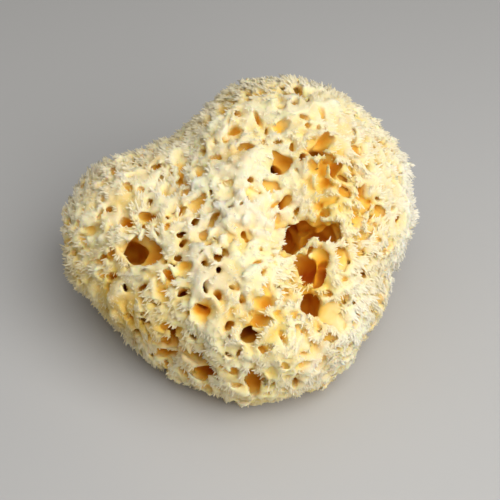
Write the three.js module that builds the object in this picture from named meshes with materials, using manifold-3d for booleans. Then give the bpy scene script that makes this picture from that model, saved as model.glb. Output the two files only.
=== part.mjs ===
// A dry natural wool sponge: one soft, lumpy body of four merged lobes, furrowed on top,
// cut off flat where it grew on the sea bed and pierced by its largest outflow canals.
// Millimetres, +Z up. The origin is the middle of the bounding box, on the cut base.
import * as THREE from "three";
import { mergeVertices } from "three/addons/utils/BufferGeometryUtils.js";
import Module from "manifold-3d";

// Driving dimensions: the four lobes that make the outline, before the base is cut at z = 0.
const RIGHT_LOBE = { centre: [18, 17, 38], radii: [44, 44, 44] };
const FRONT_LOBE = { centre: [10, -20, 27], radii: [37, 38, 37] };
const LEFT_LOBE = { centre: [-34, 7, 32], radii: [27, 32, 28] };
const CORNER_LOBE = { centre: [-15, -19, 28], radii: [25, 25, 25] };
const LOBES = [RIGHT_LOBE, FRONT_LOBE, LEFT_LOBE, CORNER_LOBE];
const LOBE_BLEND = 18; // how far two lobes melt into each other

// The furrow that parts the raised right-hand rim from the middle of the sponge. Its line runs
// a little above the surface and rises clear of it at both ends.
const FURROW_LINE = [
  [14, 5, 85],
  [18, -14, 75.5],
  [22, -31, 66],
  [28, -47, 54],
  [34, -57, 45],
];
const FURROW_RADIUS = 10.5;
const FURROW_BLEND = 10;
const FURROW_SAMPLES = 24;

// Slow swellings of the surface: their height, length and where their waves start.
const SWELLING = 1.8;
const SWELLING_LENGTH = 29;
const SWELLING_START = [0.6, 1.9, 0.3];

// A point inside all the lobes, from which the whole surface can be seen.
const HEART = new THREE.Vector3(-3, 1, 33);
const SURFACE_DETAIL = 13; // the body starts as an icosphere of 20 (n + 1)^2 triangles
const REACH = 110; // further than any surface point is from the heart
const HALVINGS = 24; // of the reach, to find the surface along a ray

// The largest outflow canals, each a blind hole from its mouth on the surface to its inner end.
// The mouth is where a line from the heart through the point given here leaves the body.
// oval is how much longer than wide a mouth is, along the way that is level with the base.
const CANALS = [
  { mouth: [-32, -24, 54], end: [-37, -9, 37], radius: 5, oval: 1.2 }, // the great osculum
  { mouth: [22, -25, 58], end: [14, -11, 42], radius: 5, oval: 1.2 }, // two in the furrow
  { mouth: [25, -41, 46], end: [21, -27, 32], radius: 3.8, oval: 1 },
  { mouth: [34, -22, 61], end: [27, -12, 47], radius: 3.2, oval: 1.4 },
  { mouth: [14, 0, 72], end: [9, 10, 57], radius: 3.2, oval: 1 },
  { mouth: [30, 3, 78], end: [25, 9, 62], radius: 3.2, oval: 1 },
  { mouth: [-1, 12, 77], end: [-2, 16, 62], radius: 2.8, oval: 1.3 },
  { mouth: [5, -54, 45], end: [4, -39, 36], radius: 3.2, oval: 1 },
  { mouth: [7, -59, 26], end: [7, -42, 23], radius: 4, oval: 1 },
  { mouth: [-11, -55, 28], end: [-7, -38, 27], radius: 3.2, oval: 1.4 },
  { mouth: [-24, -49, 31], end: [-17, -35, 29], radius: 2.8, oval: 1.5 },
  { mouth: [60, 10, 40], end: [42, 13, 36], radius: 4, oval: 1.2 },
  { mouth: [48, 45, 52], end: [35, 34, 43], radius: 3.4, oval: 1 },
  { mouth: [20, 60, 45], end: [18, 42, 40], radius: 4.6, oval: 1.3 },
  { mouth: [30, 55, 20], end: [25, 39, 22], radius: 3.4, oval: 1.2 },
  { mouth: [-20, 45, 45], end: [-14, 28, 38], radius: 3.6, oval: 1 },
  { mouth: [-45, 30, 30], end: [-32, 19, 29], radius: 3.8, oval: 1.2 },
  { mouth: [-60, 2, 28], end: [-44, 6, 29], radius: 3, oval: 1.3 },
  { mouth: [25, 30, 80], end: [20, 24, 60], radius: 3.6, oval: 1.2 },
  { mouth: [50, -28, 25], end: [35, -21, 25], radius: 3.2, oval: 1.2 },
];
const CANAL_SIDES = 10;
const CANAL_LIP = 9; // how far each cutting shape stands out of its mouth
// The canal's outline from lip to inner end: share of the depth, and share of the radius there.
const CANAL_OUTLINE = [
  [0, 1],
  [0.45, 0.8],
  [0.85, 0.62],
  [1, 0.3],
];
const CANAL_FLARE = 1.3; // the lip's radius over the mouth's

const COLOUR = 0xead9a4;

const wasm = await Module();
wasm.setup();

// Distance, near enough, from a point to an ellipsoid.
function lobeDistance(p, { centre, radii }) {
  const q = [0, 1, 2].map((i) => (p.getComponent(i) - centre[i]) / radii[i]);
  const away = Math.hypot(...q);
  const slope = Math.hypot(...q.map((x, i) => x / radii[i]));
  return slope > 0 ? (away * (away - 1)) / slope : -Math.min(...radii);
}

function smoothUnion(a, b, blend) {
  const h = Math.max(blend - Math.abs(a - b), 0) / blend;
  return Math.min(a, b) - (h * h * blend) / 4;
}

function smoothCut(a, b, blend) {
  return -smoothUnion(-a, b, blend);
}

function swelling(p) {
  const turn = (2 * Math.PI) / SWELLING_LENGTH;
  const waves = SWELLING_START.map((start, i) => Math.sin(turn * p.getComponent(i) + start));
  return SWELLING * waves[0] * waves[1] * waves[2];
}

const furrowLine = new THREE.CatmullRomCurve3(FURROW_LINE.map((p) => new THREE.Vector3(...p)));
const furrowPoints = furrowLine.getPoints(FURROW_SAMPLES);

function furrowDistance(p) {
  return Math.min(...furrowPoints.map((q) => p.distanceTo(q))) - FURROW_RADIUS;
}

// Negative inside the body as it grew, positive outside.
function bodyDistance(p) {
  const lobes = LOBES.map((lobe) => lobeDistance(p, lobe));
  const joined = lobes.reduce((a, b) => smoothUnion(a, b, LOBE_BLEND));
  return smoothCut(joined, furrowDistance(p), FURROW_BLEND) + swelling(p);
}

// Where a ray from the heart leaves the body.
function surfacePoint(direction) {
  let inside = 0;
  let outside = REACH;
  const at = (d) => HEART.clone().addScaledVector(direction, d);
  for (let step = 0; step < HALVINGS; step++) {
    const middle = (inside + outside) / 2;
    if (bodyDistance(at(middle)) < 0) inside = middle;
    else outside = middle;
  }
  return at(inside);
}

function solidOf(geometry) {
  const bare = geometry.clone();
  bare.deleteAttribute("normal");
  bare.deleteAttribute("uv");
  const merged = mergeVertices(bare);
  return new wasm.Manifold(
    new wasm.Mesh({
      numProp: 3,
      vertProperties: new Float32Array(merged.attributes.position.array),
      triVerts: new Uint32Array(merged.index.array),
    }),
  );
}

function geometryOf(solid) {
  const { vertProperties, triVerts } = solid.getMesh();
  const geometry = new THREE.BufferGeometry();
  geometry.setAttribute("position", new THREE.BufferAttribute(vertProperties, 3));
  geometry.setIndex(new THREE.BufferAttribute(triVerts, 1));
  return geometry;
}

// The whole body as it grew, with no base cut and no canals.
function grownBody() {
  const sphere = new THREE.IcosahedronGeometry(1, SURFACE_DETAIL);
  const place = sphere.attributes.position;
  for (let i = 0; i < place.count; i++) {
    const direction = new THREE.Vector3().fromBufferAttribute(place, i).normalize();
    place.setXYZ(i, ...surfacePoint(direction));
  }
  return solidOf(sphere);
}

function belowBase() {
  return solidOf(new THREE.BoxGeometry(2 * REACH, 2 * REACH, REACH).translate(0, 0, -REACH / 2));
}

// The shape that a canal leaves empty: a turned plug, round at its inner end.
function canal({ mouth, end, radius, oval }) {
  const start = surfacePoint(new THREE.Vector3(...mouth).sub(HEART).normalize());
  const stop = new THREE.Vector3(...end);
  const depth = start.distanceTo(stop);
  const outline = [
    new THREE.Vector2(0, -CANAL_LIP),
    new THREE.Vector2(radius * CANAL_FLARE, -CANAL_LIP),
    ...CANAL_OUTLINE.map(([share, width]) => new THREE.Vector2(radius * width, depth * share)),
    new THREE.Vector2(0, depth + radius * CANAL_OUTLINE.at(-1)[1]),
  ];
  const inwards = stop.clone().sub(start).normalize();
  const level = new THREE.Vector3(0, 0, 1).cross(inwards).normalize();
  const frame = new THREE.Matrix4().makeBasis(level, inwards, level.clone().cross(inwards));
  const plug = new THREE.LatheGeometry(outline, CANAL_SIDES);
  plug.scale(oval, 1, 1).applyMatrix4(frame.setPosition(start));
  return solidOf(plug);
}

const pierced = CANALS.reduce((body, each) => body.subtract(canal(each)), grownBody());
const geometry = geometryOf(pierced.subtract(belowBase()));
geometry.computeBoundingBox();
const middle = geometry.boundingBox.getCenter(new THREE.Vector3());
geometry.translate(-middle.x, -middle.y, 0);
geometry.computeVertexNormals();

const material = new THREE.MeshStandardMaterial({ color: COLOUR, roughness: 0.95, metalness: 0 });
const sponge = new THREE.Mesh(geometry, material);
sponge.name = "sponge";

const part = new THREE.Group();
part.add(sponge);

export default part;
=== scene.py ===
"""A dry natural wool sponge: one lumpy skeleton of springy fibre, riddled with canals and pores and
tufted all over, resting on the flat cut where it was taken from the sea bed.

The skeleton is modelled as a field of numbers on a fine grid, negative inside, and its surface is
then drawn as a mesh. Small cones, the conules, stand all over its skin and ridges run between them.
Fingers of fibre fan out of the conules and along the ridges, and short nap lies on the rest.
Lengths are in millimetres until a mesh is made, in metres."""

import math

import bpy
import numpy as np
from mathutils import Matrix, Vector
from mathutils.bvhtree import BVHTree


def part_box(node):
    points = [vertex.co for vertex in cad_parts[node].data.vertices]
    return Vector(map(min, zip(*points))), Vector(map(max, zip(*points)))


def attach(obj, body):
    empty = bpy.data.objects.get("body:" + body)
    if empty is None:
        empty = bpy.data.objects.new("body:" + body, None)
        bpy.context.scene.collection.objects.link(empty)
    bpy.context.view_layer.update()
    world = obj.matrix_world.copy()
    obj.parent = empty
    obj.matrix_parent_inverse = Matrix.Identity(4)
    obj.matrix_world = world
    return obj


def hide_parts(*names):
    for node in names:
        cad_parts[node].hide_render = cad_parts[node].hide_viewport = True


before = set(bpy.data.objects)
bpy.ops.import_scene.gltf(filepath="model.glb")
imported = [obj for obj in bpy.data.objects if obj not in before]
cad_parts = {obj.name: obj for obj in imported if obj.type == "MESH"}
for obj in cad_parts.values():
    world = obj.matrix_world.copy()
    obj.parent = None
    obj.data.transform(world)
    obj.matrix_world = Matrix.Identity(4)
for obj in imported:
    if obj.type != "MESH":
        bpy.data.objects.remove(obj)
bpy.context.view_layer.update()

MM = 0.001
NODE = "sponge"
BODY = "root"
draw = np.random.default_rng(1887)

# The camera stands as in the photograph, whose picture is PICTURE pixels wide.
PICTURE = 500
FOCAL_PIXELS = 1173
ELEVATION = math.radians(46)
CAMERA_DISTANCE = 422.3
AIM = np.array([4.3, -5.1, 34.5])
SENSOR = 36.0

# The grids that hold the skeleton, and how far they reach past the CAD solid.
COARSE_STEP = 2.0
FINE_STEP = 0.6
GRID_MARGIN = 6.0
FILLED_CANAL = 7.5  # canals up to twice this wide are closed over to find the outer skin

# Patches are given by the pixel in the middle and the reach in pixels. Over that reach, a patch is
# at full strength up to PATCH_END - PATCH_FADE and fades out to nothing at PATCH_END.
PATCH_END = 1.3
PATCH_FADE = 0.7
SIGHT = 90.0  # how far before and behind the aim the skin is looked for at a pixel

# Where the skin swells past the CAD solid or falls short of it: a patch, and by how much.
SWELLINGS = (
    (400, 225, 60, 2.4), (375, 310, 36, 2.2), (70, 255, 40, 2.4), (285, 395, 55, -1.8),
    (180, 360, 40, -2.8), (370, 120, 32, -0.8), (140, 345, 26, -1.6), (345, 388, 30, -1.6),
    (400, 165, 26, 1.2), (235, 85, 36, 1.6), (75, 205, 26, 1.0),
)

# The ground of the skin, which lies a little below it except where the skin has closed over.
GROUND_DEPTH = 1.3
CLOSED_RISE = 0.6
GROUND_BUMPS = ((9.0, 0.5), (4.0, 0.6), (2.0, 0.5))  # size across and height of each kind
NOISE_GAIN = 3  # makes up for what the smoothing takes from the lumps

# Where the skin has closed over: a patch, and how far closed.
CLOSED_SKIN = (
    (256, 215, 46, 0.85), (246, 262, 30, 0.85), (230, 185, 30, 0.85), (200, 195, 26, 0.7),
    (285, 135, 20, 0.6), (200, 248, 32, 0.95), (208, 292, 28, 0.9), (180, 235, 22, 0.8),
    (245, 160, 26, 0.8), (215, 140, 26, 0.75), (95, 225, 32, 0.7), (105, 185, 35, 0.6),
    (110, 300, 35, 0.5), (98, 285, 20, 0.6), (120, 320, 24, 0.5), (345, 362, 28, 0.8),
    (330, 388, 24, 0.8), (300, 360, 28, 0.8), (222, 322, 18, 0.7), (228, 365, 22, 0.6),
    (250, 395, 24, 0.7), (200, 345, 22, 0.6), (170, 325, 24, 0.6), (362, 330, 20, 0.7),
    (302, 182, 20, 0.7), (398, 240, 36, 0.6), (390, 175, 36, 0.55), (385, 310, 30, 0.5),
    (345, 120, 34, 0.65), (305, 112, 30, 0.7), (285, 105, 22, 0.6), (225, 130, 26, 0.75),
    (255, 115, 24, 0.7), (150, 175, 30, 0.6), (170, 200, 24, 0.5), (330, 190, 26, 0.25),
    (150, 290, 26, 0.4),
)

# The canals.
CANAL_LIP = 1.0  # how far a canal's mouth closes in at the skin
CANAL_SWELL = 0.7  # how far it widens below
CANAL_NECK = 4.0  # how deep it gets to its full width
CANAL_EDGE = 2.0  # a hollow this far below the skin counts in full as a canal
CANAL_WALL_BUMPS = ((4.5, 0.8), (2.2, 0.4))
RIM_ROUNDING = 0.5
DISH_ROUNDING = 0.35  # more for each millimetre that a pore is shallower than its radius

# The pores that stand out in the photograph: pixel of the mouth, its width and height in pixels,
# the turn of its width from level in degrees, and how deep it is in millimetres.
SEEN_PORES = (
    (137, 251, 21, 25, 0, 22), (153, 252, 20, 23, 0, 8), (296, 238, 17, 34, -25, 22),
    (306, 268, 18, 32, 0, 12), (320, 278, 18, 20, 0, 4), (323, 231, 24, 9, 8, 7),
    (307, 232, 18, 12, 0, 14), (312, 303, 18, 24, 0, 14), (258, 385, 18, 22, 0, 8),
    (204, 373, 24, 13, 10, 8), (165, 352, 19, 11, 0, 7), (182, 232, 8, 7, 0, 8),
    (183, 243, 8, 8, 0, 8), (193, 219, 14, 6, 40, 7), (182, 208, 9, 5, 30, 6),
    (216, 217, 14, 6, 35, 8), (202, 231, 12, 12, 0, 5), (211, 245, 11, 6, 20, 5),
    (224, 250, 8, 6, 0, 8), (219, 257, 9, 7, 20, 9), (206, 264, 7, 8, 0, 10),
    (202, 253, 6, 4, 0, 9), (221, 271, 9, 9, 0, 7), (176, 263, 7, 9, 0, 9), (180, 256, 8, 7, 0, 5),
    (187, 266, 9, 14, 0, 3), (168, 276, 11, 8, 10, 5), (205, 288, 6, 16, 0, 8),
    (218, 299, 7, 9, 0, 8), (203, 303, 13, 5, -10, 8), (182, 295, 13, 8, 35, 9),
    (231, 290, 7, 5, 0, 9), (144, 284, 9, 7, 0, 6), (114, 279, 8, 9, 0, 6), (127, 289, 8, 10, 0, 9),
    (152, 201, 7, 11, 0, 5), (148, 215, 18, 9, 0, 5), (126, 221, 9, 11, 0, 5),
    (109, 213, 10, 8, 0, 4), (170, 214, 5, 7, 0, 6), (144, 228, 7, 8, 0, 6), (210, 193, 7, 6, 0, 4),
    (220, 197, 6, 4, 0, 4), (230, 207, 5, 4, 0, 4), (242, 206, 6, 4, 30, 4), (241, 232, 7, 7, 0, 5),
    (246, 238, 5, 5, 0, 5), (111, 254, 6, 13, 0, 5), (103, 262, 6, 9, 0, 4),
    (202, 310, 18, 12, 0, 4), (201, 320, 9, 9, 0, 3), (227, 326, 11, 9, 30, 8),
    (242, 307, 9, 6, 0, 5), (249, 337, 15, 13, 40, 6), (261, 350, 8, 9, 0, 4),
    (288, 364, 8, 9, 0, 4), (293, 328, 8, 8, 0, 4), (263, 302, 15, 10, 30, 4),
    (284, 203, 6, 19, -20, 7), (276, 206, 5, 13, -40, 4), (281, 164, 22, 20, 0, 6),
    (251, 178, 7, 6, 0, 5), (303, 154, 6, 13, -20, 7), (325, 142, 18, 9, 40, 7),
    (336, 171, 11, 14, 0, 5), (329, 160, 6, 11, 10, 6), (248, 148, 13, 7, 0, 4),
    (235, 129, 12, 9, 0, 4), (217, 156, 12, 7, 0, 4), (280, 125, 8, 9, 0, 3),
    (316, 129, 5, 9, 0, 4), (303, 128, 5, 9, 0, 4), (356, 216, 13, 16, 0, 4),
    (341, 253, 12, 9, 0, 5), (333, 228, 12, 10, 0, 6), (362, 189, 5, 14, 0, 4),
    (354, 298, 5, 10, 25, 4), (378, 211, 8, 9, 0, 3), (278, 340, 6, 8, 0, 5),
    (299, 381, 9, 11, 0, 6), (233, 372, 10, 9, 0, 4), (222, 352, 6, 7, 0, 5),
    (236, 350, 9, 8, 0, 4), (195, 354, 8, 8, 0, 3), (175, 332, 9, 14, 0, 5), (195, 336, 7, 5, 0, 7),
    (146, 324, 8, 6, 0, 6), (135, 331, 11, 6, 0, 4), (237, 385, 10, 7, 0, 4),
    (322, 262, 9, 9, 0, 5), (115, 172, 6, 12, 0, 4), (157, 165, 9, 7, 0, 3), (181, 182, 7, 8, 0, 4),
    (200, 172, 11, 9, 0, 3), (91, 230, 10, 14, 0, 3), (268, 188, 5, 5, 0, 5),
    (263, 271, 8, 5, 20, 6), (255, 261, 6, 4, 0, 4), (316, 153, 5, 13, 25, 6),
    (321, 168, 11, 11, 0, 3), (311, 165, 6, 6, 0, 4), (324, 182, 15, 16, 0, 3),
    (347, 189, 10, 10, 0, 3), (325, 211, 6, 8, 0, 4), (298, 211, 6, 8, -20, 5),
    (278, 219, 12, 7, 0, 3), (376, 163, 8, 14, -15, 3), (277, 141, 8, 6, 25, 3),
    (293, 145, 6, 6, 0, 3), (330, 312, 22, 18, -15, 1.6), (344, 322, 18, 14, -20, 1.2),
    (258, 320, 16, 10, 20, 3), (255, 121, 8, 11, -20, 5), (278, 101, 9, 6, 0, 3),
    (264, 130, 6, 7, 0, 3), (319, 110, 8, 13, 0, 2), (300, 118, 9, 6, 0, 2),
    (247, 148, 12, 9, 20, 5),
)

# Loose strands of fibre that cross the holes: the pixels that each runs through.
STRANDS = (
    ((281, 264), (291, 257), (304, 250)), ((290, 259), (297, 267), (300, 284)),
    ((304, 250), (314, 245), (326, 241)), ((136, 232), (140, 239), (141, 243)),
    ((309, 286), (316, 291), (325, 292)), ((268, 152), (272, 160), (271, 169)),
    ((172, 259), (177, 262), (182, 262)),
)
STRAND_RADIUS = 0.6
STRAND_ROOT = 1.8  # how deep the ends of a strand lie below the skin

# Pores over the rest of the skin, the largest first: radius, how many are tried, depth over radius.
PORE_SIZES = ((2.6, 120, 1.0), (1.8, 300, 1.2), (1.2, 500, 1.7), (0.8, 700, 2.4))
PORE_WALL = 1.4  # the least thickness left between two pores
PORE_WARP = 0.8  # how far a pore's outline strays from an oval
PORE_WARP_SIZE = 3.2
PORE_LEAN = 0.3  # how far the seen pores lean to the left as they go in
PORE_DIVE = 0.35  # how far they turn straight into the skin
PORE_TILT = 0.3  # how far the other pores lean any way
PORE_BELLY = 0.25  # how much wider a pore is half way in
PORE_FLARE = 0.3  # how much wider it is one depth above its mouth
PORE_PROBE = 2.0  # how far below its mouth a pore must be clear of the canals
PORE_CLOSED = (0.3, 1.1)  # a pore is left out where the skin is closed more than a share in here
PORE_SIZE_SPREAD = (0.85, 1.15)
PORE_DEPTH_SPREAD = (0.7, 1.4)
PORE_STRETCH = 0.35  # how much longer than wide they tend to be

# The conules, small flattened cones all over the skin, and the ridges between them.
CONULE_TRIES = 40000
CONULE_SPACING = (3.0, 4.6)
CONULE_HEIGHT = (0.6, 1.8)
CONULE_RADIUS = 1.3
CONULE_TIP = 0.65
CONULE_WIDTH = 1.7  # how much wider than thick
CONULE_LEAN = 0.5  # how far they lean along the skin
CONULE_STRAY = 0.3  # how far each leans its own way
DROOP = 0.25  # how far all fibre leans downwards
CONULE_BLEND = 1.0
CONULE_CLEARANCE = 0.3  # between a conule's middle and the rim of a pore
CONULE_FOOTING = 0.5  # how far a canal must be from its foot
RIDGE_LONGEST = 6.5
RIDGES_KEPT = 0.75
RIDGE_RADIUS = (0.55, 0.85)
RIDGE_DEPTH = (0.3, 1.0)
RIDGE_BLEND = 0.9

BODY_TRIANGLES = 195000

# The fingers of fibre: in fans on the conules, in rows along the ridges.
FAN_FINGERS = (9, 15)
FAN_REACH = 1.5
FAN_THICKNESS = 0.5
FAN_SPREAD = 0.55
FAN_LENGTH = (0.7, 1.7)
FAN_RADIUS = (0.25, 0.4)
ROW_SPACING = 1.2
ROW_LENGTH = (0.5, 1.2)
ROW_RADIUS = (0.24, 0.38)
FINGER_SUNK = 0.6
ROOT_SEARCH = (4.0, -3.0)  # from how far outside to how far inside the root of a finger is looked for
FINGER_CLOSED = (0.1, 1.05)  # a finger is left out where the skin is closed more than a share in here
BARE_BELOW = 32.0  # fingers thin out below this height
BARE_CHANCE = (-0.3, 1)  # a finger is left out where its height over that is less than a share in here
CLOSED_SHORTER = 0.4  # how much shorter fingers are on closed skin
LONG_SHARE = 0.06  # how many fingers are longer than the rest
LONG_BY = 1.4
FOOT_LENGTH = 0.5  # the share of their length that fingers have at the foot
FOOT_HEIGHT = 8.0  # up to where they are that short
FOOT_RISE = 40.0  # in how much height they would gain a full length more
FINGER_STRAY = 0.15
FINGER_BEND = (0.1, 0.8)
BEND_COMB_STRAY = 0.5  # how far each bends away from the comb along the skin
BEND_STRAY = 0.1  # and any way
# How a fibre is shaped: the shares of its length at which its rings lie and how wide they are there.
FINGER_SHAPE = ((0.0, 0.5, 0.87), (1.5, 0.95, 0.58))
NAP_SHAPE = ((0.0, 0.6), (1.2, 0.9))
FIBRE_SIDES = 3
# How far a fibre is shaded like the skin round it, and how much paler its tip is, as if that much
# higher.
FINGER_LOOK = (1.3, 1.5)
NAP_LOOK = (1.7, 0.9)
# The nap, short fibre that lies on the skin.
NAP_COUNT = 58000  # places tried
NAP_DEPTH = 1.0  # how far below the skin it grows
NAP_LENGTH = (0.5, 1.2)
NAP_RADIUS = (0.16, 0.26)
NAP_LIFT = 0.45  # how far it stands off the skin
NAP_STRAY = 1.0
NAP_BEND = 0.4
NAP_SETTLE = 0.1  # how far it bends back to the skin
NAP_SUNK = 0.15
COMB_SIZE = 13.0  # how far fingers lean the same way
PORE_BARE = 1.0  # how far fingers keep from the rims of the seen pores
TUFT_FOOT = 2.5  # no fibre stands this close to the cut base
FIBRE_LOWEST = 0.02  # the least height of its points over the floor
SIDES = ("right", "back", "left", "front")

# Finish. Depth is below the outer skin, in millimetres; colours are as a screen shows them.
DEPTH_RANGE = (-5.0, 18.0)
FIBRE_DEPTHS = (-3, 3)  # the range of depths that fibre looks like at its root
# Near the skin these are the fibre's own cream and gold; the darkening to brown deep in the canals and
# pores is painted shade.
TINTS = (
    (-4.6, (255, 247, 226)), (-2.6, (255, 241, 206)), (-1.2, (254, 234, 187)), (0.0, (252, 226, 162)),
    (1.0, (250, 217, 135)), (2.2, (244, 202, 92)), (4.0, (228, 160, 34)), (6.5, (184, 90, 7)),
    (10.0, (116, 42, 2)), (15.0, (74, 25, 2)),
)
# Painted light and shade on the fibre. Some patches are painted paler (less than 0) as painted highlight
# where the light falls full, such as the right rim and the middle. Others are painted deeper and golden
# (more than 0) as painted shade where the light is dim, such as the lower left and the furrow. Each entry
# gives a patch and how much deeper it seems to lie.
PAINTED_LIGHT_PATCHES = (
    (408, 195, 42, -2.6), (402, 265, 42, -2.6), (360, 320, 30, -1.6), (325, 368, 40, -1.2),
    (225, 215, 50, -1.4), (105, 300, 44, 1.9), (150, 325, 34, 1.4), (312, 280, 22, 2.2),
    (345, 200, 28, 1.2), (320, 160, 30, 0.6), (270, 322, 24, 0.8), (190, 165, 36, -0.6),
)
TAN_DEPTH = 0.8  # how far the tint strays inwards at the foot of the sponge
TAN_BELOW = 42.0  # the height below which it does
FELT_MOTTLE = 0.45  # how far the tint strays as if the skin lay higher or lower
FELT_SIZE = 2.4
TONE_MOTTLE = (0.5, 0.2)  # the middle tone and how far it strays
TONE_SIZE = 7.0
TONE_RANGE = (0.9, 1.06)  # how bright the least and greatest tones are
MAP_EDGE = 0.001  # how far the map keeps from its edges
ROUGHNESS = 0.9
SHINE = 0.2
# How much light sinks in, and how far in millimetres for red, green and blue.
BODY_GLOW = (0.85, (1.1, 0.8, 0.4))
TUFT_GLOW = (0.3, (0.25, 0.25, 0.25))

# The studio, in metres and watts: soft lamps, each with its place, width and strength.
LAMPS = (("key", (0.32, -0.35, 0.6), 0.8, 7.1), ("top", (-0.15, 0.05, 0.78), 0.9, 1.5))
LAMP_AIM = (0, 0, 0.03)
SKY = 0.08
SKY_COLOUR = (1.0, 0.92, 0.8, 1)
FLOOR_COLOUR = (0.5, 0.495, 0.485, 1)
FLOOR_SIZE = 4


class Grid:
    """A box of evenly spaced points."""

    def __init__(self, step):
        self.step = step
        low, high = np.array(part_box(NODE)) / MM
        self.low = low - GRID_MARGIN
        self.axes = [np.arange(a, b + step, step) for a, b in zip(self.low, high + GRID_MARGIN)]
        self.shape = tuple(len(axis) for axis in self.axes)

    def places(self):
        return np.stack(np.meshgrid(*self.axes, indexing="ij"), -1).reshape(-1, 3)

    def sample(self, field, points):
        """What a field on this grid reads at any points, by straight mixing of the eight nearest."""
        where = (points - self.low) / self.step
        where = np.clip(where, 0, np.array(self.shape) - 1.001)
        first = where.astype(int)
        part = where - first
        total = np.zeros(len(points))
        for corner in np.ndindex(2, 2, 2):
            share = np.prod(np.where(corner, part, 1 - part), axis=1)
            total += share * field[tuple((first + corner).T)]
        return total

    def slope(self, field, points):
        """The unit vectors along which a field rises fastest."""
        shifts = np.eye(3) * self.step
        rise = [self.sample(field, points + s) - self.sample(field, points - s) for s in shifts]
        return unit(np.stack(rise, 1))

    def block_around(self, point, reach):
        """The part of the grid near a point, and the way from the point to each place in it."""
        first = np.maximum(((point - reach - self.low) / self.step).astype(int), 0)
        last = np.minimum(((point + reach - self.low) / self.step).astype(int) + 1, self.shape)
        block = tuple(slice(a, b) for a, b in zip(first, last))
        places = np.meshgrid(*[axis[part] for axis, part in zip(self.axes, block)], indexing="ij")
        return block, [place - p for place, p in zip(places, point)]


def unit(vectors):
    return vectors / np.maximum(np.linalg.norm(vectors, axis=-1, keepdims=True), 1e-9)


def random_ways(count):
    return unit(draw.standard_normal((count, 3)))


def dot(a, b):
    return sum(x * y for x, y in zip(a, b))


def spline_matrix(at, low, step, count):
    """Weights that read a smooth line, with knots at low, low + step and so on, at the places at."""
    where = (at - low) / step
    first = np.floor(where).astype(int)
    t = where - first
    weights = (
        (1 - t) ** 3 / 6,
        (3 * t**3 - 6 * t**2 + 4) / 6,
        (-3 * t**3 + 3 * t**2 + 3 * t + 1) / 6,
        t**3 / 6,
    )
    matrix = np.zeros((len(at), count), np.float32)
    for shift, weight in enumerate(weights):
        np.add.at(matrix, (np.arange(len(at)), np.clip(first - 1 + shift, 0, count - 1)), weight)
    return matrix


def spread(knots, low, step):
    """A field on the fine grid that runs smoothly through knots on a coarser one."""
    for axis, at in enumerate(fine.axes):
        matrix = spline_matrix(at, low[axis], step, knots.shape[axis])
        knots = np.moveaxis(np.tensordot(matrix, knots, (1, axis)), 0, axis)
    return np.ascontiguousarray(knots)


def soft_noise(size):
    """Smooth lumps about size across on the fine grid, with a spread of about 1."""
    low = fine.low - 2 * size
    counts = [int((axis[-1] - axis[0]) / size) + 6 for axis in fine.axes]
    knots = draw.standard_normal(counts).astype(np.float32)
    return NOISE_GAIN * spread(knots, low, size)


def smooth_max(a, b, blend):
    overlap = np.maximum(blend - np.abs(a - b), 0) / blend
    return np.maximum(a, b) + overlap * overlap * blend / 4


def smooth_min(a, b, blend):
    return -smooth_max(-a, -b, blend)


def cad_distance(grid):
    """Distance from the surface of the CAD solid, negative inside."""
    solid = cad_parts[NODE].data
    tree = BVHTree.FromPolygons([v.co for v in solid.vertices], [p.vertices[:] for p in solid.polygons])
    nearest = [tree.find_nearest(place)[3] for place in (grid.places() * MM).tolist()]
    inside = np.empty(grid.shape, bool)
    for i, x in enumerate(grid.axes[0]):
        for j, y in enumerate(grid.axes[1]):
            inside[i, j] = np.searchsorted(crossings_above(tree, x, y), grid.axes[2]) % 2
    return np.array(nearest, np.float32).reshape(grid.shape) / MM * np.where(inside, -1, 1)


def crossings_above(tree, x, y):
    """The heights at which an upright line crosses a surface."""
    heights = []
    start = Vector((x * MM, y * MM, -1))
    while (point := tree.ray_cast(start, Vector((0, 0, 1)))[0]) is not None:
        heights.append(point.z / MM)
        start = point + Vector((0, 0, 1e-6))
    return heights


def over_ball(field, radius, pick):
    """The least or greatest value within radius of each point of the coarse grid, as pick says."""
    reach = int(radius / COARSE_STEP)
    steps = np.argwhere(np.ones((2 * reach + 1,) * 3)) - reach
    steps = steps[(steps * COARSE_STEP) ** 2 @ np.ones(3) <= radius**2]
    wide = np.pad(field, reach, mode="edge")
    found = field.copy()
    for x, y, z in steps + reach:
        pick(found, wide[x:, y:, z:][: field.shape[0], : field.shape[1], : field.shape[2]], out=found)
    return found


def net_surface(field, grid):
    """The surface where a field is zero, as points and four-cornered faces that turn outwards."""
    inside = field < 0
    corners = np.array(list(np.ndindex(2, 2, 2)))
    cut = [slice(0, -1), slice(1, None)]
    filled = sum(inside[cut[x], cut[y], cut[z]].astype(np.int8) for x, y, z in corners)
    mixed = (filled > 0) & (filled < 8)
    cells = np.argwhere(mixed)
    values = np.stack([field[tuple((cells + corner).T)] for corner in corners], 1)
    middle, crossings = np.zeros((len(cells), 3)), np.zeros(len(cells))
    for axis in range(3):
        for near in np.flatnonzero(corners[:, axis] == 0):
            far = near + (4, 2, 1)[axis]
            a, b = values[:, near], values[:, far]
            crossed = (a < 0) != (b < 0)
            share = a[crossed] / (a[crossed] - b[crossed])
            middle[crossed] += corners[near] + share[:, None] * np.eye(3)[axis]
            crossings += crossed
    points = grid.low + grid.step * (cells + middle / crossings[:, None])
    number = np.full(mixed.shape, -1, np.int32)
    number[mixed] = np.arange(len(cells))
    faces = np.concatenate([edge_faces(inside, number, axis) for axis in range(3)])
    return largest_piece(points, faces)


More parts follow.
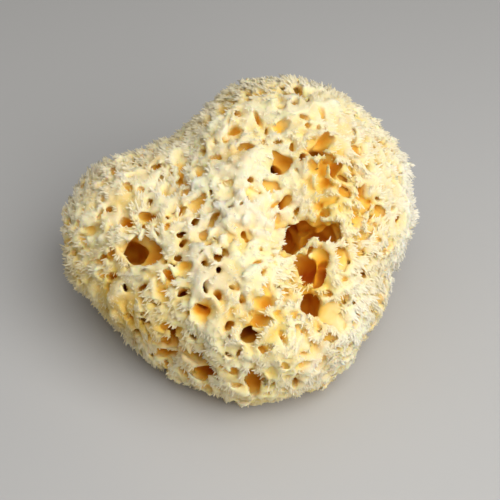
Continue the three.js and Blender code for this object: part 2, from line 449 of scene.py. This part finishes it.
def edge_faces(inside, number, axis):
    """One face across each line of the grid along an axis whose two ends differ."""
    across, along = np.eye(3, dtype=int)[[(axis + 1) % 3, (axis + 2) % 3]]
    step = np.eye(3, dtype=int)[axis]
    room = np.array(inside.shape) - 1 - (1 - step)
    first = 1 - step
    core = [slice(f, f + n) for f, n in zip(first, room)]
    ahead = [slice(f + s, f + s + n) for f, s, n in zip(first, step, room)]
    lower, upper = inside[tuple(core)], inside[tuple(ahead)]
    at = np.argwhere(lower != upper) + first
    turns_along = inside[tuple(at.T)]
    ring = [number[tuple((at - move).T)] for move in (0 * across, across, across + along, along)]
    quads = np.stack(ring, 1)
    quads[~turns_along] = quads[~turns_along][:, ::-1]
    return quads


def largest_piece(points, faces):
    """Leaves out crumbs and sealed hollows, which touch nothing else."""
    label = np.arange(len(points))
    a = faces.ravel()
    b = np.roll(faces, 1, axis=1).ravel()
    while True:
        before = label.copy()
        least = np.minimum(label[a], label[b])
        np.minimum.at(label, a, least)
        np.minimum.at(label, b, least)
        label = label[label]
        if np.array_equal(label, before):
            break
    kept = label == np.bincount(label).argmax()
    renumber = np.cumsum(kept) - 1
    return points[kept], renumber[faces[kept[faces[:, 0]]]]


def camera_frame():
    """Where the camera stands, and its ways to the right, up and back."""
    back = np.array([0, -math.cos(ELEVATION), math.sin(ELEVATION)])
    right = np.array([1.0, 0, 0])
    return AIM + CAMERA_DISTANCE * back, right, np.cross(back, right), back


def place_camera():
    eye, _, _, _ = camera_frame()
    data = bpy.data.cameras.new("camera")
    data.sensor_width = SENSOR
    data.lens = SENSOR * FOCAL_PIXELS / PICTURE
    camera = bpy.data.objects.new("camera", data)
    camera.location = eye * MM
    camera.rotation_euler = (math.pi / 2 - ELEVATION, 0, 0)
    bpy.context.scene.collection.objects.link(camera)
    bpy.context.scene.camera = camera


class Skin:
    """The outer skin of the sponge, which closes over the canals."""

    def __init__(self, field):
        self.field = field
        self.points, self.faces = net_surface(field, fine)

    def depth(self, places):
        return -fine.sample(self.field, places)

    def outwards(self, places):
        return fine.slope(self.field, places)

    def random_points(self, count):
        """Points spread evenly over the skin."""
        corner = self.points[self.faces]
        area = np.linalg.norm(np.cross(corner[:, 2] - corner[:, 0], corner[:, 3] - corner[:, 1]), axis=1)
        chosen = draw.choice(len(corner), count, p=area / area.sum())
        u, v = draw.random((2, count, 1))
        a, b, c, d = corner[chosen].transpose(1, 0, 2)
        return (a * (1 - u) + b * u) * (1 - v) + (d * (1 - u) + c * u) * v

    def seen_at(self, pixels):
        """The points of the skin that show at or nearest to pixels of the picture, and the ways there."""
        eye, right, up, back = camera_frame()
        x, y = (np.asarray(pixels, float) - PICTURE / 2).T[:, :, None]
        ways = unit(x * right - y * up - FOCAL_PIXELS * back)
        reaches = np.arange(CAMERA_DISTANCE - SIGHT, CAMERA_DISTANCE + SIGHT, fine.step / 2)
        line = eye + ways[:, None, :] * reaches[:, None]
        field = fine.sample(self.field, line.reshape(-1, 3)).reshape(line.shape[:2])
        found = np.where((field < 0).any(1), (field < 0).argmax(1), field.argmin(1))
        return line[np.arange(len(line)), found], ways


class Pores:
    """The pores chosen so far: mouth, radius, way in, depth and how much longer than wide."""

    def __init__(self):
        self.mouths = np.empty((0, 3))
        self.radii = np.empty(0)
        self.shapes = []

    def clear_of(self, place, gap):
        return np.min(np.linalg.norm(self.mouths - place, axis=1) - self.radii) > gap

    def add(self, mouth, radius, inwards, depth, stretch, stretch_way):
        self.mouths = np.vstack([self.mouths, mouth])
        self.radii = np.append(self.radii, radius * (1 + stretch) / 2)
        self.shapes.append((mouth, radius, inwards, depth, stretch, stretch_way))

    def add_seen(self, skin):
        seen = np.array(SEEN_PORES, float)
        mouths, ways = skin.seen_at(seen[:, :2])
        outwards = skin.outwards(mouths)
        eye, right, up, back = camera_frame()
        for mouth, way, out, (_, _, wide, high, turn, depth) in zip(mouths, ways, outwards, seen):
            scale = np.dot(eye - mouth, back) / FOCAL_PIXELS / 2
            level = math.cos(math.radians(turn)) * right + math.sin(math.radians(turn)) * up
            upright = np.cross(way, level)
            inwards = unit(way - PORE_DIVE * out - PORE_LEAN * right)
            long_way, long, short = (level, wide, high) if wide > high else (upright, high, wide)
            long_way = unit(long_way - inwards * np.dot(long_way, inwards))
            self.add(mouth, short * scale, inwards, depth, long / short, long_way)

    def add_random(self, skin, canals, closed):
        """Fills the skin with pores of falling size, each clear of the ones before."""
        for radius, tries, depth in PORE_SIZES:
            mouths = skin.random_points(tries)
            outwards = skin.outwards(mouths)
            taken = fine.sample(canals, mouths - PORE_PROBE * outwards) > -radius
            taken |= fine.sample(closed, mouths) > draw.uniform(*PORE_CLOSED, tries)
            sizes = radius * draw.uniform(*PORE_SIZE_SPREAD, tries)
            leans = random_ways(tries)
            stretches = 1 + np.abs(draw.normal(0, PORE_STRETCH, tries))
            deeps = depth * sizes * draw.uniform(*PORE_DEPTH_SPREAD, tries)
            for i in np.flatnonzero(~taken):
                if self.clear_of(mouths[i], sizes[i] + PORE_WALL):
                    inwards = unit(-outwards[i] + PORE_TILT * leans[i])
                    sideways = unit(np.cross(inwards, leans[i]))
                    self.add(mouths[i], sizes[i], inwards, deeps[i], stretches[i], sideways)

    def carve(self, field, warp):
        """Cuts every pore out of the field, with rounded rims."""
        for mouth, radius, inwards, depth, stretch, stretch_way in self.shapes:
            block, away = fine.block_around(mouth, depth + 2 * radius)
            away = [a + w[block] for a, w in zip(away, warp)]
            along = dot(away, inwards)
            side = dot(away, stretch_way)
            square = dot(away, away) - along**2 - side**2 * (1 - 1 / stretch**2)
            share = np.clip(along / depth, -1, 1)
            belly = 1 + PORE_BELLY * np.sin(math.pi * np.maximum(share, 0))
            inner = belly * np.sqrt(np.maximum(1 - share**3, 0))
            width = np.where(share < 0, 1 - PORE_FLARE * share, inner)
            gap = np.sqrt(np.maximum(square, 0)) - radius * width
            gap = np.maximum(gap, along - depth)
            rounding = RIM_ROUNDING + DISH_ROUNDING * max(radius - depth, 0)
            field[block] = smooth_max(field[block], -gap, rounding)


def add_bar(field, warp, start, end, radius):
    """Joins a rounded bar to the field, with soft corners where it meets the rest."""
    way = end - start
    length = np.linalg.norm(way)
    block, away = fine.block_around(start + way / 2, length / 2 + radius + 2 * RIDGE_BLEND)
    away = [a + w[block] + v / 2 for a, w, v in zip(away, warp, way)]
    share = np.clip(dot(away, way) / length**2, 0, 1)
    off = [a - share * v for a, v in zip(away, way)]
    gap = np.sqrt(dot(off, off)) - radius
    field[block] = smooth_min(field[block], gap, RIDGE_BLEND)


def leaning(comb, places, outwards, stray):
    """Unit ways along the skin in which fibre leans: with the comb, drooping a little, each its own."""
    lean = unit(np.stack([fine.sample(c, places) for c in comb], 1))
    lean += stray * draw.standard_normal(places.shape) - DROOP * np.eye(3)[2]
    return unit(lean - outwards * (lean * outwards).sum(1, keepdims=True))


class Conules:
    """Points all over the skin, evenly spaced and clear of the pores, and the ridges between them."""

    def __init__(self, skin, canals, pores, comb):
        places = skin.random_points(CONULE_TRIES)
        outwards = skin.outwards(places)
        spacing = draw.uniform(*CONULE_SPACING, CONULE_TRIES)
        solid = fine.sample(canals, places - outwards) < -CONULE_FOOTING
        solid &= places[:, 2] > TUFT_FOOT
        self.cells = {}
        self.places = places
        chosen = []
        for i in np.flatnonzero(solid):
            near = self.near(places[i])
            if near and np.linalg.norm(places[near] - places[i], axis=1).min() < spacing[i]:
                continue
            if pores.clear_of(places[i], CONULE_CLEARANCE):
                self.cells.setdefault(self.cell(places[i]), []).append(i)
                chosen.append(i)
        number = {i: n for n, i in enumerate(chosen)}
        self.cells = {cell: [number[i] for i in held] for cell, held in self.cells.items()}
        self.places = places[chosen]
        self.outwards = outwards[chosen]
        self.heights = draw.uniform(*CONULE_HEIGHT, len(chosen))
        lean = leaning(comb, self.places, self.outwards, CONULE_STRAY)
        self.axes = unit(self.outwards + CONULE_LEAN * lean)
        self.sides = np.cross(self.outwards, lean)
        self.ridges = self.find_ridges()

    def cell(self, place):
        return tuple(np.floor(place / RIDGE_LONGEST).astype(int))

    def near(self, place):
        home = np.array(self.cell(place)) - 1
        return [i for step in np.ndindex(3, 3, 3) for i in self.cells.get(tuple(home + step), ())]

    def find_ridges(self):
        """Pairs of conules with no third one between them, most of which a ridge joins."""
        ridges = []
        for i, place in enumerate(self.places):
            near = np.array(self.near(place))
            for j in near[near > i]:
                middle = (place + self.places[j]) / 2
                reach = np.linalg.norm(place - middle)
                nearest = np.linalg.norm(self.places[near] - middle, axis=1).min()
                if 2 * reach < RIDGE_LONGEST and nearest > reach - 1e-6:
                    ridges.append((i, j))
        kept = draw.random(len(ridges)) < RIDGES_KEPT
        return np.array(ridges)[kept]

    def raise_cones(self, field):
        for place, way, side, height in zip(self.places, self.axes, self.sides, self.heights):
            block, away = fine.block_around(place, height + CONULE_BLEND + CONULE_WIDTH * CONULE_RADIUS)
            along = dot(away, way)
            across = dot(away, side) ** 2 * (1 - 1 / CONULE_WIDTH**2)
            aside = np.sqrt(np.maximum(dot(away, away) - along**2 - across, 0))
            share = np.clip(along / height, 0, 1)
            gap = aside - CONULE_RADIUS + (CONULE_RADIUS - CONULE_TIP) * share
            gap = np.maximum(gap, np.abs(along) - height)
            field[block] = smooth_min(field[block], gap, CONULE_BLEND)

    def raise_ridges(self, field, warp):
        depths = draw.uniform(*RIDGE_DEPTH, len(self.ridges))
        radii = draw.uniform(*RIDGE_RADIUS, len(self.ridges))
        for (i, j), depth, radius in zip(self.ridges, depths, radii):
            start = self.places[i] - depth * self.outwards[i]
            add_bar(field, warp, start, self.places[j] - depth * self.outwards[j], radius)

    def row_places(self):
        """Places along the ridges, and the way out at each."""
        start, end = self.places[self.ridges.T]
        counts = np.maximum(np.linalg.norm(end - start, axis=1) / ROW_SPACING, 1).astype(int)
        owner = np.repeat(np.arange(len(counts)), counts)
        share = draw.random((len(owner), 1))
        first, last = self.outwards[self.ridges.T]
        places = start[owner] * (1 - share) + end[owner] * share
        return places, unit(first[owner] * (1 - share) + last[owner] * share)


def add_strands(field, warp, skin):
    for pixels in STRANDS:
        places, _ = skin.seen_at(pixels)
        places[[0, -1]] -= STRAND_ROOT * skin.outwards(places[[0, -1]])
        for start, end in zip(places, places[1:]):
            add_bar(field, warp, start, end, STRAND_RADIUS)


def patches_on(skin, patches):
    """How strong each patch is at each place of the coarse grid, fading out round its edge."""
    pixels = np.array(patches, float)
    middles, _ = skin.seen_at(pixels[:, :2])
    reaches = pixels[:, 2] * CAMERA_DISTANCE / FOCAL_PIXELS
    places = coarse.places().reshape(*coarse.shape, 3)
    for middle, reach, strength in zip(middles, reaches, pixels[:, 3]):
        away = np.linalg.norm(places - middle, axis=-1) / reach
        yield strength * np.clip((PATCH_END - away) / PATCH_FADE, 0, 1).astype(np.float32)


def bleaching_of(skin):
    """How far the painted highlight and painted shade move the tint, as a field."""
    return spread(sum(patches_on(skin, PAINTED_LIGHT_PATCHES)), coarse.low, coarse.step)


def closed_share(skin):
    """How far the skin has closed over, from 0 to 1, as a field."""
    share = np.max(list(patches_on(skin, CLOSED_SKIN)), axis=0)
    return spread(share, coarse.low, coarse.step)


def build_skeleton():
    """The field of the whole skeleton, and what the fibre on it goes by."""
    distance = cad_distance(coarse)
    bridged = over_ball(over_ball(distance, FILLED_CANAL, np.minimum), FILLED_CANAL, np.maximum)
    swelling = sum(patches_on(Skin(spread(bridged, coarse.low, coarse.step)), SWELLINGS))
    skin = Skin(spread(bridged - swelling, coarse.low, coarse.step))
    # A swelling narrows the mouths of the canals under it, but closes none.
    kept_open = np.clip((distance - bridged) / CANAL_EDGE, 0, 1) * np.maximum(swelling, 0)
    hollow = spread(distance - swelling + kept_open, coarse.low, coarse.step)
    in_canal = np.clip((hollow - skin.field) / CANAL_EDGE, 0, 1)
    neck = np.clip(-skin.field / CANAL_NECK, 0, 1)
    canals = hollow - np.maximum(skin.field, 0) - CANAL_LIP * (1 - neck) + CANAL_SWELL * neck
    closed = closed_share(skin)
    # Patches of painted highlight and painted shade, which move the tint
    skin.bleaching = bleaching_of(skin)
    pores = Pores()
    pores.add_seen(skin)
    pores.add_random(skin, canals, closed)
    comb = [soft_noise(COMB_SIZE) for _ in range(3)]
    conules = Conules(skin, canals, pores, comb)
    warp = [PORE_WARP * soft_noise(PORE_WARP_SIZE) for _ in range(3)]
    field = skin.field + GROUND_DEPTH * (1 - closed) - CLOSED_RISE * closed
    for size, height in GROUND_BUMPS:
        field -= height * soft_noise(size)
    conules.raise_ridges(field, warp)
    conules.raise_cones(field)
    for size, height in CANAL_WALL_BUMPS:
        canals += height * soft_noise(size) * in_canal
    field = smooth_max(field, canals, RIM_ROUNDING)
    pores.carve(field, warp)
    add_strands(field, warp, skin)
    height = fine.axes[2][None, None, :]
    return np.maximum(field, -height), skin, conules, closed, pores, comb


def mesh_piece(name, points, faces):
    mesh = bpy.data.meshes.new(name)
    mesh.from_pydata((points * MM).tolist(), [], faces)
    mesh.polygons.foreach_set("use_smooth", np.ones(len(mesh.polygons), bool))
    piece = bpy.data.objects.new(name, mesh)
    bpy.context.scene.collection.objects.link(piece)
    return piece


def thinned(piece, triangles):
    """Takes the least needed triangles out of a piece until it has about that many."""
    have = sum(len(p.vertices) - 2 for p in piece.data.polygons)
    if have > triangles:
        modifier = piece.modifiers.new("thin", "DECIMATE")
        modifier.ratio = triangles / have
        bpy.context.view_layer.update()
        graph = bpy.context.evaluated_depsgraph_get()
        mesh = bpy.data.meshes.new_from_object(piece.evaluated_get(graph))
        piece.modifiers.clear()
        piece.data = mesh
    return piece


def points_of(mesh):
    found = np.empty(len(mesh.vertices) * 3)
    mesh.vertices.foreach_get("co", found)
    return found.reshape(-1, 3) / MM


def triangles_of(mesh):
    mesh.calc_loop_triangles()
    found = np.empty(len(mesh.loop_triangles) * 3, np.int32)
    mesh.loop_triangles.foreach_get("vertices", found)
    return found.reshape(-1, 3)


def surface_points(body, count):
    """Points spread evenly over a piece, and the way out at each."""
    corner = points_of(body.data)[triangles_of(body.data)]
    normal = np.cross(corner[:, 1] - corner[:, 0], corner[:, 2] - corner[:, 0])
    area = np.linalg.norm(normal, axis=1)
    chosen = draw.choice(len(corner), count, p=area / area.sum())
    u, v = np.sort(draw.random((2, count)), axis=0)[:, :, None]
    a, b, c = corner[chosen].transpose(1, 0, 2)
    return a * u + b * (v - u) + c * (1 - v), unit(normal[chosen])


def surface_along(field, places, ways):
    """Where lines that come in along ways meet the skeleton, and whether they do near places."""
    reaches = np.arange(*ROOT_SEARCH, -fine.step / 3)
    line = places[:, None] + ways[:, None] * reaches[:, None]
    inside = fine.sample(field, line.reshape(-1, 3)).reshape(line.shape[:2]) < 0
    return line[np.arange(len(line)), inside.argmax(1)], inside.any(1)


def fibres(feet, ways, outwards, lengths, radii, bends, shape, softness):
    """Tapered, bent fibres that stand on feet: their points, rings first and a tip last, and the way
    that each point faces, which is part the fibre's own and part the skin's."""
    side = unit(np.cross(ways, bends))
    other = np.cross(ways, side)
    shares, widths = shape
    angles = 2 * math.pi * np.arange(FIBRE_SIDES) / FIBRE_SIDES
    around = np.cos(angles)[:, None, None] * side + np.sin(angles)[:, None, None] * other
    rings = []
    for share, width in zip(shares, widths):
        middle = feet + lengths[:, None] * (share * ways + share**2 * bends)
        rings.append(middle + width * radii[:, None] * around)
    tip = feet + lengths[:, None] * (ways + bends)
    points = np.concatenate([*rings, tip[None]]).transpose(1, 0, 2)
    points[:, :, 2] = np.maximum(points[:, :, 2], FIBRE_LOWEST)
    facing = np.concatenate([*[around] * len(rings), ways[None]]).transpose(1, 0, 2)
    return points, unit(facing + softness * outwards[:, None])


def tube_faces(count, rings, sides):
    """The faces of count tapered tubes whose points follow each other, rings first and a tip last."""
    ring = np.arange(sides)
    after = (ring + 1) % sides
    walls = [np.stack([ring, after, after + sides, ring + sides], 1) + level * sides
             for level in range(rings - 1)]
    last = (rings - 1) * sides
    ends = np.stack([ring + last, after + last, np.full(sides, rings * sides)], 1)
    shift = (rings * sides + 1) * np.arange(count)[:, None, None]
    faces = (ends + shift).reshape(-1, 3).tolist()
    return faces + (np.concatenate(walls) + shift).reshape(-1, 4).tolist()


def set_finish(piece, material, depth, tone):
    """Gives each point its depth and tone, which the finish and its map go by."""
    mesh = piece.data
    values = {"depth": depth, "tone": tone}
    for name, value in values.items():
        layer = mesh.attributes.new(name, "FLOAT", "POINT")
        layer.data.foreach_set("value", np.clip(value, 0, 1).astype(np.float32))
    vertex = np.empty(len(mesh.loops), np.int32)
    mesh.loops.foreach_get("vertex_index", vertex)
    inside = [np.clip(value, MAP_EDGE, 1 - MAP_EDGE) for value in values.values()]
    places = np.stack([value[vertex] for value in inside], 1)
    layer = mesh.uv_layers.new(name="OFBake", do_init=False)
    layer.uv.foreach_set("vector", places.astype(np.float32).ravel())
    mesh.materials.clear()
    mesh.materials.append(material)


def depth_share(depth):
    low, high = DEPTH_RANGE
    return (np.asarray(depth) - low) / (high - low)


def finger_places(conules, comb):
    """Where fingers may stand, in fans on the conules and in rows along the ridges: places, the ways
    that lead to them, their own ways, lengths and radii."""
    owner = np.repeat(np.arange(len(conules.places)), draw.integers(*FAN_FINGERS, len(conules.places)))
    share = draw.uniform(-1, 1, (len(owner), 1))
    axes, sides = conules.axes[owner], conules.sides[owner]
    fans = conules.places[owner] + FAN_REACH * share * sides + FAN_THICKNESS * random_ways(len(owner))
    rows, row_out = conules.row_places()
    row_ways = unit(row_out + CONULE_LEAN * leaning(comb, rows, row_out, CONULE_STRAY))
    places = np.concatenate([fans, rows])
    ways = np.concatenate([unit(axes + FAN_SPREAD * share * sides), row_ways])
    lengths = two_draws(FAN_LENGTH, len(fans), ROW_LENGTH, len(rows))
    radii = two_draws(FAN_RADIUS, len(fans), ROW_RADIUS, len(rows))
    return places, np.concatenate([axes, row_ways]), ways, lengths, radii


def two_draws(first, first_count, second, second_count):
    """Numbers drawn from one range and then from another."""
    return np.concatenate([draw.uniform(*first, first_count), draw.uniform(*second, second_count)])


def add_fingers(field, skin, conules, closed, pores, comb, material):
    """Fingers of fibre wherever they find a root clear of the seen pores."""
    places, leads, ways, lengths, radii = finger_places(conules, comb)
    roots, met = surface_along(field, places, leads)
    met &= fine.sample(closed, roots) < draw.uniform(*FINGER_CLOSED, len(roots))
    met &= roots[:, 2] / BARE_BELOW > draw.uniform(*BARE_CHANCE, len(roots))
    met &= roots[:, 2] > TUFT_FOOT
    seen, wide = pores.mouths[:len(SEEN_PORES)], pores.radii[:len(SEEN_PORES)]
    for mouth, reach in zip(seen, wide):
        met &= np.linalg.norm(roots - mouth, axis=1) > reach + PORE_BARE
    roots, leads, ways, lengths, radii = roots[met], leads[met], ways[met], lengths[met], radii[met]
    outwards = skin.outwards(roots)
    flat = fine.sample(closed, roots)
    longer = np.where(draw.random(len(roots)) < LONG_SHARE, LONG_BY, 1)
    lengths = lengths * (1 - CLOSED_SHORTER * flat) * longer
    lengths *= np.clip(FOOT_LENGTH + (roots[:, 2] - FOOT_HEIGHT) / FOOT_RISE, FOOT_LENGTH, 1)
    ways = unit(ways + FINGER_STRAY * random_ways(len(roots)))
    bends = leaning(comb, roots, outwards, BEND_COMB_STRAY)
    bends = bends * draw.uniform(*FINGER_BEND, (len(roots), 1))
    bends += BEND_STRAY * random_ways(len(roots))
    feet = roots - FINGER_SUNK * leads
    softness, paler = FINGER_LOOK
    made = fibres(feet, ways, outwards, lengths + FINGER_SUNK, radii, bends, FINGER_SHAPE, softness)
    return fibre_pieces("tufts_", roots, *made, FINGER_SHAPE[0], paler, skin, material)


def add_nap(body, skin, comb, material):
    """Short fibre that lies on the skin, wherever it isn't sunk."""
    roots, outwards = surface_points(body, NAP_COUNT)
    kept = (skin.depth(roots) < NAP_DEPTH) & (roots[:, 2] > TUFT_FOOT)
    roots, outwards = roots[kept], outwards[kept]
    ways = unit(leaning(comb, roots, outwards, NAP_STRAY) + NAP_LIFT * outwards)
    lengths = draw.uniform(*NAP_LENGTH, len(roots))
    radii = draw.uniform(*NAP_RADIUS, len(roots))
    bends = NAP_BEND * random_ways(len(roots)) - NAP_SETTLE * outwards
    softness, paler = NAP_LOOK
    feet = roots - NAP_SUNK * outwards
    made = fibres(feet, ways, outwards, lengths, radii, bends, NAP_SHAPE, softness)
    return fibre_pieces("nap_", roots, *made, NAP_SHAPE[0], paler, skin, material)


def fibre_pieces(kind, roots, points, facing, shares, paler, skin, material):
    """One piece of joined fibres for each side of the sponge."""
    quarter = np.floor(np.arctan2(roots[:, 1], roots[:, 0]) / (math.pi / 2) + 0.5).astype(int) % 4
    along = np.repeat([*shares, 1.0], [FIBRE_SIDES] * len(shares) + [1])
    pieces = []
    for number, side in enumerate(SIDES):
        mine = quarter == number
        count = np.count_nonzero(mine)
        faces = tube_faces(count, len(shares), FIBRE_SIDES)
        piece = mesh_piece(kind + side, points[mine].reshape(-1, 3), faces)
        piece.data.normals_split_custom_set_from_vertices(facing[mine].reshape(-1, 3).tolist())
        at_root = np.clip(tint_depth(skin, roots[mine]), *FIBRE_DEPTHS)
        depth = depth_share(at_root[:, None] - paler * along)
        set_finish(piece, material, depth.ravel(), np.repeat(draw.random(count), len(along)))
        pieces.append(piece)
    return pieces


def tint_depth(skin, places):
    """How deep the fibre at some places looks: the lower it is, the more tan, and deeper or shallower
    where painted shade or painted highlight lie.
    """
    tan = TAN_DEPTH * np.clip(1 - places[:, 2] / TAN_BELOW, 0, 1)
    return skin.depth(places) + tan + fine.sample(skin.bleaching, places)


def linear(colour):
    """A screen colour, 0 to 255, as light."""
    share = np.asarray(colour) / 255
    light = np.where(share > 0.04045, ((share + 0.055) / 1.055) ** 2.4, share / 12.92)
    return (*light, 1.0)


def tint_group():
    """Cream on the ridges, through gold and amber to brown in the depths, with a slow mottle; the brown
    in the depths is painted shade.
    """
    group = bpy.data.node_groups.new("sponge tint", "ShaderNodeTree")
    for name in ("Depth", "Tone"):
        group.interface.new_socket(name, in_out="INPUT", socket_type="NodeSocketFloat")
    group.interface.new_socket("Color", in_out="OUTPUT", socket_type="NodeSocketColor")
    nodes, links = group.nodes, group.links
    inputs, outputs = nodes.new("NodeGroupInput"), nodes.new("NodeGroupOutput")
    ramp = nodes.new("ShaderNodeValToRGB")
    stops = ramp.color_ramp.elements
    while len(stops) < len(TINTS):
        stops.new(0.5)
    for stop, (depth, colour) in zip(stops, TINTS):
        stop.position = float(depth_share(depth))
        stop.color = linear(colour)
    links.new(inputs.outputs["Depth"], ramp.inputs["Fac"])
    shade = nodes.new("ShaderNodeHueSaturation")
    links.new(ramp.outputs["Color"], shade.inputs["Color"])
    value = nodes.new("ShaderNodeMapRange")
    value.inputs["To Min"].default_value = TONE_RANGE[0]
    value.inputs["To Max"].default_value = TONE_RANGE[1]
    links.new(inputs.outputs["Tone"], value.inputs["Value"])
    links.new(value.outputs["Result"], shade.inputs["Value"])
    links.new(shade.outputs["Color"], outputs.inputs["Color"])
    return group


def fibre_material(name, group, subsurface, reaches):
    material = bpy.data.materials.new(name)
    material.use_nodes = True
    nodes, links = material.node_tree.nodes, material.node_tree.links
    shader = nodes["Principled BSDF"]
    tint = nodes.new("ShaderNodeGroup")
    tint.node_tree = group
    for socket in ("Depth", "Tone"):
        reader = nodes.new("ShaderNodeAttribute")
        reader.attribute_name = socket.lower()
        links.new(reader.outputs["Fac"], tint.inputs[socket])
    links.new(tint.outputs["Color"], shader.inputs["Base Color"])
    shader.inputs["Roughness"].default_value = ROUGHNESS
    shader.inputs["Specular IOR Level"].default_value = SHINE
    shader.inputs["Subsurface Weight"].default_value = subsurface
    shader.inputs["Subsurface Radius"].default_value = reaches
    shader.inputs["Subsurface Scale"].default_value = MM
    return material


def add_body(skeleton, skin, material):
    """The skeleton's surface as a piece, with its finish."""
    points, faces = net_surface(skeleton, fine)
    points[:, 2] = np.maximum(points[:, 2], 0)
    body = thinned(mesh_piece("sponge_body", points, faces.tolist()), BODY_TRIANGLES)
    places = points_of(body.data)
    places[:, 2] = np.maximum(places[:, 2], 0)
    body.data.vertices.foreach_set("co", (places * MM).ravel())
    middle, stray = TONE_MOTTLE
    tone = middle + stray * fine.sample(soft_noise(TONE_SIZE), places)
    felt = FELT_MOTTLE * fine.sample(soft_noise(FELT_SIZE), places)
    set_finish(body, material, depth_share(tint_depth(skin, places) + felt), tone)
    return body


def add_lamps():
    for name, place, width, strength in LAMPS:
        data = bpy.data.lights.new(name, "AREA")
        data.size = width
        data.energy = strength
        lamp = bpy.data.objects.new(name, data)
        lamp.location = place
        lamp.rotation_euler = (Vector(LAMP_AIM) - lamp.location).to_track_quat("-Z", "Y").to_euler()
        bpy.context.scene.collection.objects.link(lamp)


def add_sky():
    world = bpy.data.worlds.new("studio")
    world.use_nodes = True
    background = world.node_tree.nodes["Background"]
    background.inputs["Color"].default_value = SKY_COLOUR
    background.inputs["Strength"].default_value = SKY
    bpy.context.scene.world = world
    bpy.context.scene.view_settings.view_transform = "Standard"


def add_floor():
    bpy.ops.mesh.primitive_plane_add(size=FLOOR_SIZE)
    floor = bpy.context.object
    floor.name = "floor"
    finish = bpy.data.materials.new("pale floor")
    finish.use_nodes = True
    finish.node_tree.nodes["Principled BSDF"].inputs["Base Color"].default_value = FLOOR_COLOUR
    floor.data.materials.append(finish)


coarse = Grid(COARSE_STEP)
fine = Grid(FINE_STEP)
skeleton, skin, conules, closed, pores, comb = build_skeleton()
tint = tint_group()
body_finish = fibre_material("sponge skeleton", tint, *BODY_GLOW)
tuft_finish = fibre_material("sponge tufts", tint, *TUFT_GLOW)
sponge = add_body(skeleton, skin, body_finish)
tufts = add_fingers(skeleton, skin, conules, closed, pores, comb, tuft_finish)
tufts += add_nap(sponge, skin, comb, tuft_finish)
for piece in (sponge, *tufts):
    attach(piece, BODY)
    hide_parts(NODE)

place_camera()
add_lamps()
add_sky()
add_floor()
